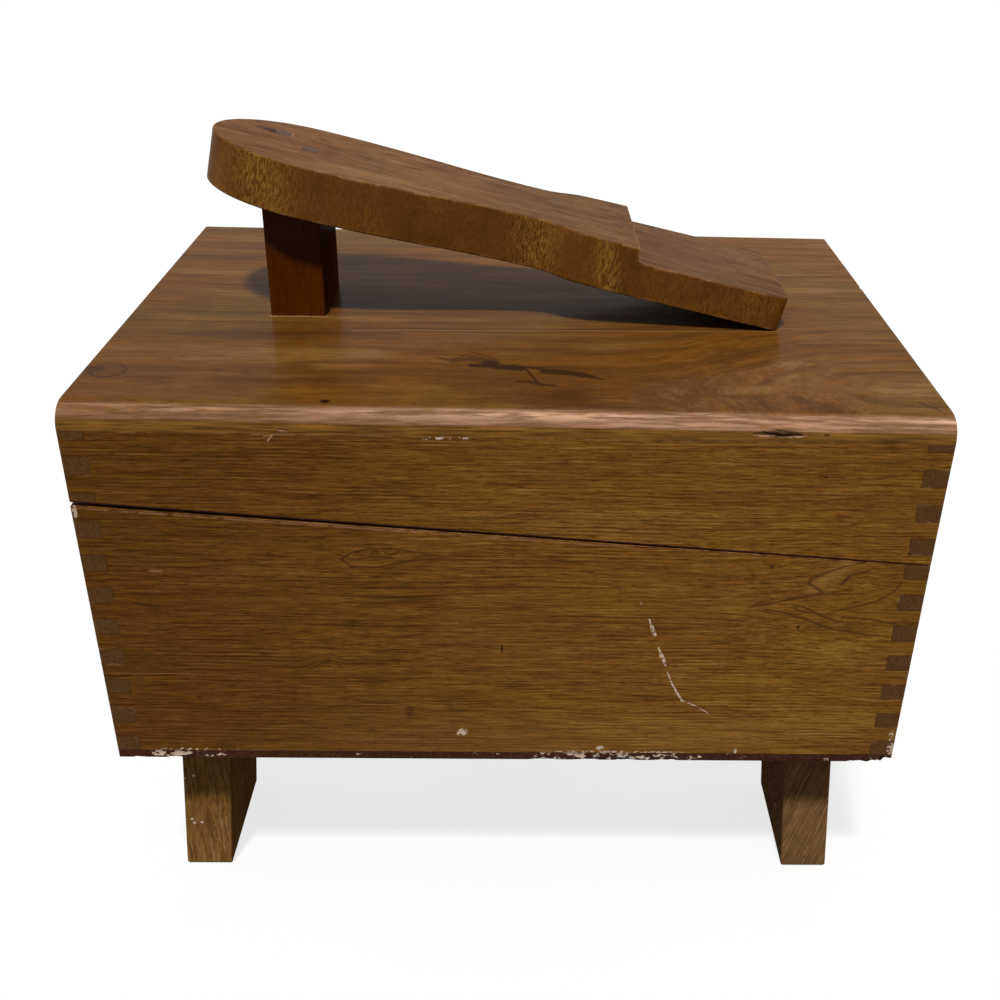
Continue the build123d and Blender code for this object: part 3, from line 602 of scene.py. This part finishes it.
def buildWoods():
    caseEyes = {"eyes": frontEyes}
    dress(varnishedWood("caseFrontWood", caseEyes, frontMarks, [fingerLines(), cutLips(False)]),
          "base_front_board")
    backLook = {"heart": (0.115, 0.17), "offset": (0.3, 0.05, 0.1), "rise": (-0.2, -0.05, (0.01, 0.0)),
                "tone": evenTone}
    dress(varnishedWood("caseBackWood", backLook, (), [fingerLines(), cutLips(False)]), "base_back_board")
    dress(varnishedWood("lidFrontWood", caseEyes, lidFrontMarks, [fingerLines(lidDrop), cutLips(True)]),
          "lid_front_board")
    dress(varnishedWood("lidBackWood", backLook, (), [fingerLines(lidDrop), cutLips(True)]), "lid_back_board")
    endLook = {"along": "Y", "heart": (0.16, 0.23), "offset": (0.7, 0.0, 0.3),
               "rise": (0.0, 0.2, (0.01, 0.0)), "tone": (-0.2, 0.2, (0.95, 0.95, 0.95), (1.05, 1.05, 1.05))}
    cornerMarks = onFront([
        {"at": (210.5, 116.0), "size": (2.6, 5.0), "thick": 3, "shade": white, "crumbs": 0.5},
    ])
    dress(varnishedWood("caseEndWood", endLook, cornerMarks, [fingerLines(), cutLips(False)]),
          "base_left_end_board", "base_right_end_board")
    dress(varnishedWood("lidEndWood", endLook, (), [fingerLines(lidDrop), cutLips(True)]),
          "lid_left_end_board", "lid_right_end_board")
    topLook = {
        "heart": (-0.121, 0.239), "rise": (0.045, 0.21, (0.0, -0.05)), "offset": (0.2, 0.4, 0.1),
        "plain": (0.092, 0.042, 0.0058), "warm": (0.1, 0.0365, 0.0042),
        "dark": (0.034, 0.0135, 0.0035), "pale": (0.175, 0.092, 0.026),
        "tone": (-0.2, 0.2, (0.91, 0.91, 0.91), (1.04, 1.04, 1.04)),
        "fine": (16, 640), "fineDark": 0.4, "fineLight": 0.36, "hairDark": 0.3,
        "band": (5, 42), "bandDark": 0.5, "bandLight": 0.5,
        "ringWidth": 0.0125, "ringDark": 0.45, "ringSharp": 0.2, "poresDark": 0.4,
        "wave": (7, 16, 0.003), "wear": 0.25, "rough": 0.34, "bump": 0.12,
        "gloss": 0.01, "coat": 0.06, "coatRough": 0.13, "coatTooth": 0.6,
    }
    dress(varnishedWood("topWood", topLook, topMarks, [rubbedAndHighlitEdges]), "lid_top_board")
    restLook = {
        "turn": (0, -restSlope, 0), "heart": (0.02, 0.22), "rise": (-0.2, 0.2, (0.01, 0.0)),
        "plain": (0.118, 0.055, 0.0165), "warm": (0.11, 0.044, 0.012),
        "dark": (0.045, 0.017, 0.005), "pale": (0.21, 0.115, 0.042),
        "tone": (-0.16, 0.12, (1, 1, 1), (0.77, 0.76, 0.76)),
        "fine": (24, 760), "fineDark": 0.55, "fineLight": 0.4,
        "band": (8, 60), "bandDark": 0.36, "bandLight": 0.36,
        "wave": (8, 16, 0.003), "ringDark": 0.4, "poresDark": 0.35,
        "wear": 0.8, "wearFrom": 0.5, "wearWidth": 0.002, "edgeGrime": 0.7, "bare": (0.33, 0.18, 0.075),
        "gloss": 0.01, "coat": 0.02, "rough": 0.42,
    }
    dress(varnishedWood("footrestWood", restLook, restMarks, [sawnGrain]), "footrest_board")
    postLook = {
        "along": "Z", "heart": (0.1, 0.08), "tone": evenTone,
        "plain": (0.056, 0.0135, 0.0012), "warm": (0.062, 0.0145, 0.001),
        "dark": (0.026, 0.006, 0.0008), "pale": (0.085, 0.025, 0.003),
        "fineDark": 0.3, "fineLight": 0.2, "ringDark": 0.3, "hairDark": 0.3, "poresDark": 0.25, "wear": 0.3,
        "gloss": 0.0, "coatRough": 0.2,
    }
    dress(varnishedWood("postWood", postLook), "footrest_post")
    legLook = {
        "along": "Z", "heart": (0.05, 0.1), "offset": (0.3, 0.2, 0.6), "rise": (-0.3, 0.3, (0.0, 0.0)),
        "plain": (0.2, 0.1, 0.028), "warm": (0.21, 0.098, 0.027),
        "dark": (0.08, 0.036, 0.01), "pale": (0.32, 0.2, 0.08), "tone": evenTone,
        "fineDark": 0.45, "ringDark": 0.5, "gloss": 0.0, "coat": 0.0, "rough": 0.6, "wear": 0.6,
    }
    dress(varnishedWood("leftLegWood", legLook, leftLegMarks), "leg_front_left", "leg_back_left")
    greyLook = {
        "plain": (0.165, 0.093, 0.043), "warm": (0.175, 0.092, 0.038), "dark": (0.07, 0.036, 0.016),
        "turn": (0, radians(75), 0), "heart": (0.02, 0.16), "wave": (9, 14, 0.004),
    }
    dress(varnishedWood("rightLegWood", {**legLook, **greyLook}), "leg_front_right", "leg_back_right")
    print("wood dressed")


buildWoods()

# The thin pressed board under the box

panelLook = {
    "shade": (0.03, 0.0092, 0.0052), "pale": (0.064, 0.024, 0.0125), "bare": (0.6, 0.47, 0.37),
    "fuzz": 700, "rough": 0.6, "gloss": 0.04,
    "front": (-0.1485, -0.15),                   # bare chips show at the front, in y
    "height": (0.1125, 0.1085),                  # more of them lower down, in z
    "runs": ((-0.195, -0.185, -0.16, -0.145), (0.0, 0.03, 0.09, 0.13)),      # and along two runs, in x
    "often": (0.64, 0.53),
}


def pressedBoard(look):
    material, tree = startMaterial("pressedBoard")
    raw = addNode(tree, "TexCoord").outputs["Object"]
    fuzz = noise(tree, raw, (look["fuzz"],) * 3, 4.0, 0.65)
    clouds = noise(tree, raw, (14, 14, 14), 3.0, 0.6)
    base = paint(tree, fit(tree, fuzz, 0.4, 0.7), look["shade"], look["pale"])
    base = brighten(tree, base, fit(tree, clouds, 0.3, 0.7, 0.8, 1.2))
    chips = noise(tree, raw, (170, 170, 300), 4.0, 0.65)
    x, y, z = addNode(tree, "SeparateXYZ", {0: raw}).outputs
    low = fit(tree, z, *look["height"], 0.5, 1.0)
    atFront = fit(tree, y, *look["front"])
    runs = [calc(tree, "MULTIPLY", fit(tree, x, start, full), fit(tree, x, end, fading))
            for start, full, fading, end in look["runs"]]
    often = fit(tree, calc(tree, "MAXIMUM", *runs), 0.0, 1.0, *look["often"])
    bare = fit(tree, calc(tree, "SUBTRACT", chips, often), 0.0, 0.05)
    amount = calc(tree, "MULTIPLY", calc(tree, "MULTIPLY", low, atFront), bare)
    base = paint(tree, amount, base, look["bare"])
    bump = addNode(tree, "Bump", {"Height": fuzz, "Strength": 0.35, "Distance": 0.0004})
    shader = addNode(tree, "BsdfPrincipled", {"Base Color": base, "Roughness": look["rough"],
                                              "Normal": bump.outputs[0], "Specular IOR Level": look["gloss"]})
    addNode(tree, "OutputMaterial", {0: shader.outputs[0]})
    return material


# Aged metal: bright where it is rubbed, dull in between

metals = {
    "hingeBrass": {"shade": (0.38, 0.25, 0.085), "dull": (0.11, 0.06, 0.022), "rough": 0.38,
                   "parts": [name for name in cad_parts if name.startswith("hinge_")]},
    "screwSteel": {"shade": (0.3, 0.28, 0.25), "dull": (0.1, 0.075, 0.055), "rough": 0.42,
                   "parts": ["bottom_panel_nails", "leg_screws", "post_screws", "heel_screws",
                             "footrest_screws"]},
}


def agedMetal(name, look):
    material, tree = startMaterial(name)
    raw = addNode(tree, "TexCoord").outputs["Object"]
    patches = noise(tree, raw, (160, 160, 160), 4.0, 0.65)
    scratches = noise(tree, raw, (300, 2600, 1400), 3.0, 0.6)
    base = paint(tree, fit(tree, patches, 0.4, 0.62), look["dull"], look["shade"])
    base = brighten(tree, base, fit(tree, scratches, 0.3, 0.7, 0.8, 1.15))
    rough = fit(tree, patches, 0.35, 0.65, look["rough"] + 0.15, look["rough"] - 0.05)
    bump = addNode(tree, "Bump", {"Height": scratches, "Strength": 0.2, "Distance": 0.0001})
    shader = addNode(tree, "BsdfPrincipled", {"Base Color": base, "Metallic": 1.0, "Roughness": rough,
                                              "Normal": bump.outputs[0]})
    addNode(tree, "OutputMaterial", {0: shader.outputs[0]})
    return material


def buildFittings():
    dress(pressedBoard(panelLook), "bottom_panel")
    for name, look in metals.items():
        dress(agedMetal(name, look), *look["parts"])
    plugLook = {"turn": (0, -restSlope, 0), "heart": (0.02, 0.22), "tone": evenTone,
                "plain": (0.03, 0.014, 0.007), "warm": (0.05, 0.022, 0.01),
                "dark": (0.012, 0.006, 0.003), "pale": (0.1, 0.05, 0.02), "bandDark": 0.8, "wear": 0.0}
    dress(varnishedWood("plugFiller", plugLook), "footrest_screw_plugs")
    print("panel and metal dressed")


buildFittings()

# Chips and splinters are cut out of copies of the boards

chips = {
    "lid_top_board": [                           # place, half size and turn of what broke out, in millimetres
        ((122.0, -150.1, 305.0), (7.0, 1.3, 1.5), (0, 3, 2)),
        ((134.0, -150.1, 304.6), (8.0, 1.2, 1.2), (0, -4, -3)),
        ((128.5, -150.0, 306.8), (4.5, 1.2, 0.9), (0, 8, 0)),
        ((151.0, -150.2, 305.0), (2.4, 0.8, 0.8), (0, 0, 0)),
        ((-103.0, -150.3, 304.4), (2.8, 0.7, 0.7), (0, 5, 0)),
        ((-211.0, -96.0, 313.4), (1.6, 3.0, 1.3), (0, 0, 8)),
        ((212.6, 40.0, 312.7), (1.5, 4.0, 1.3), (0, 0, -5)),
        ((60.0, 150.3, 305.5), (6.0, 1.1, 1.0), (0, 3, 0)),
    ],
    "bottom_panel": [
        ((209.6, -150.2, 107.6), (5.5, 3.0, 2.6), (12, 25, 10)),
        ((203.5, -151.0, 107.2), (5.0, 1.9, 1.4), (0, 8, 0)),
        ((192.0, -151.2, 106.8), (6.0, 1.5, 1.0), (0, 0, 4)),
        ((-163.0, -151.2, 107.2), (9.0, 1.6, 1.3), (0, 2, 0)),
        ((-178.0, -151.0, 106.9), (6.0, 1.3, 1.0), (0, -3, 0)),
        ((-196.0, -151.0, 106.6), (4.5, 1.4, 1.1), (0, 4, 0)),
        ((22.0, -151.1, 107.0), (10.0, 1.3, 1.2), (0, 1, 0)),
        ((45.0, -151.1, 106.9), (9.0, 1.4, 1.3), (0, -2, 0)),
        ((67.0, -151.1, 107.1), (7.0, 1.4, 1.4), (0, 3, 0)),
        ((88.0, -151.0, 106.7), (8.0, 1.2, 1.0), (0, 0, 0)),
        ((-80.0, 151.0, 107.0), (9.0, 1.4, 1.2), (0, 2, 0)),
        ((-208.6, 60.0, 107.0), (1.4, 8.0, 1.2), (0, 0, 3)),
    ],
}
gouging = {"merge": 0.000002, "uneven": 0.35, "smoothUpTo": 25}
chipBodies = {"lid_top_board": "lid", "bottom_panel": "base"}


def addGouge(place, size, turn, seed):
    bpy.ops.object.select_all(action="DESELECT")
    bpy.ops.mesh.primitive_ico_sphere_add(
        subdivisions=3, radius=1, location=[value / 1000 for value in place],
        rotation=[radians(value) for value in turn], scale=[value / 1000 for value in size])
    gouge = bpy.context.object
    bpy.ops.object.transform_apply(location=True, rotation=True, scale=True)
    bpy.ops.object.mode_set(mode="EDIT")
    bpy.ops.mesh.select_all(action="SELECT")
    bpy.ops.transform.vertex_random(offset=min(size) / 1000 * gouging["uneven"], uniform=0.2, normal=0.5,
                                    seed=seed)
    bpy.ops.object.mode_set(mode="OBJECT")
    return gouge


def chipBoard(name, gouges):
    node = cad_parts[name]
    piece = bpy.data.objects.new(name + "_chipped", node.data.copy())
    scene.collection.objects.link(piece)
    bpy.ops.object.select_all(action="DESELECT")
    piece.select_set(True)
    bpy.context.view_layer.objects.active = piece
    bpy.ops.object.mode_set(mode="EDIT")
    bpy.ops.mesh.select_all(action="SELECT")
    bpy.ops.mesh.remove_doubles(threshold=gouging["merge"])
    bpy.ops.object.mode_set(mode="OBJECT")
    for index, (place, size, turn) in enumerate(gouges):
        gouge = addGouge(place, size, turn, index)
        bpy.ops.object.select_all(action="DESELECT")
        piece.select_set(True)
        bpy.context.view_layer.objects.active = piece
        cut = piece.modifiers.new("chip", "BOOLEAN")
        cut.operation = "DIFFERENCE"
        cut.solver = "EXACT"
        cut.object = gouge
        bpy.ops.object.modifier_apply(modifier=cut.name)
        bpy.data.objects.remove(gouge)
    bpy.ops.object.shade_smooth_by_angle(angle=radians(gouging["smoothUpTo"]))
    flatten = piece.modifiers.new("flatten", "WEIGHTED_NORMAL")
    flatten.weight = 100
    flatten.keep_sharp = True
    bpy.ops.object.modifier_apply(modifier=flatten.name)
    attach(piece, chipBodies[name])
    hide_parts(name)
    print(name, "chipped:", len(piece.data.polygons), "faces")


for board, gouges in chips.items():
    chipBoard(board, gouges)

# Light

light = {
    "sunHeight": 64.0,
    "sunFromRight": -9.0,
    "sunStrength": 4.45,
    "sunSpread": 5.5,
    "sunColour": (1.0, 0.965, 0.92),
    "sideHeight": 22.0,
    "sideTurns": (105.0, -105.0),                # from the front, towards the right and the left
    "sideStrength": 0.9,
    "sideSpread": 40.0,
    "backHeight": 14.0,
    "backStrength": 0.8,
    "fill": 0.24,
    "fillColour": (1.0, 0.985, 0.96),
}
floorLook = {"size": 12, "middle": (0, 2, 0), "shade": 0.15, "glow": 0.77}


def seenDirectly(tree):
    path = addNode(tree, "LightPath")
    seen = calc(tree, "MAXIMUM", path.outputs["Is Camera Ray"], path.outputs["Is Glossy Ray"])
    return calc(tree, "MAXIMUM", seen, path.outputs["Is Transmission Ray"])


def addLamp(height, turn, strength, spread, shade):
    height, turn = radians(height), radians(turn)
    towards = Vector((sin(turn) * cos(height), -cos(turn) * cos(height), sin(height)))
    bpy.ops.object.light_add(type="SUN", location=towards * 2)
    lamp = bpy.context.object
    lamp.rotation_euler = towards.to_track_quat("Z", "Y").to_euler()
    lamp.data.energy = strength
    lamp.data.angle = radians(spread)
    lamp.data.color = shade
    return lamp


def addLight(light):
    addLamp(light["sunHeight"], light["sunFromRight"], light["sunStrength"], light["sunSpread"],
            light["sunColour"])
    for turn in light["sideTurns"]:
        addLamp(light["sideHeight"], turn, light["sideStrength"], light["sideSpread"], light["fillColour"])
    behind = addLamp(light["backHeight"], 180, light["backStrength"], light["sideSpread"],
                     light["fillColour"])
    behind.visible_glossy = False                # it lights the back without a glare on the top
    world = bpy.data.worlds.new("studio")
    scene.world = world
    world.use_nodes = True
    tree = world.node_tree
    tree.nodes.clear()
    fill = addNode(tree, "Background", {"Color": (*light["fillColour"], 1), "Strength": light["fill"]})
    backdrop = addNode(tree, "Background", {"Color": (1, 1, 1, 1), "Strength": 1.0})
    both = addNode(tree, "MixShader", {0: seenDirectly(tree), 1: fill.outputs[0], 2: backdrop.outputs[0]})
    addNode(tree, "OutputWorld", {0: both.outputs[0]})
    print("lights placed")


def addFloor(look):
    bpy.ops.mesh.primitive_plane_add(size=look["size"], location=look["middle"])
    floor = bpy.context.object
    floor.name = "studioFloor"
    material, tree = startMaterial("floorPaint")
    glow = calc(tree, "MULTIPLY", seenDirectly(tree), look["glow"])
    plain = addNode(tree, "BsdfDiffuse", {"Color": (*(look["shade"],) * 3, 1)})
    glowing = addNode(tree, "Emission", {"Color": (1, 1, 1, 1), "Strength": glow})
    both = addNode(tree, "AddShader", {0: plain.outputs[0], 1: glowing.outputs[0]})
    addNode(tree, "OutputMaterial", {0: both.outputs[0]})
    floor.data.materials.append(material)
    print("floor laid")


addLight(light)
addFloor(floorLook)

scene.view_settings.view_transform = "Standard"
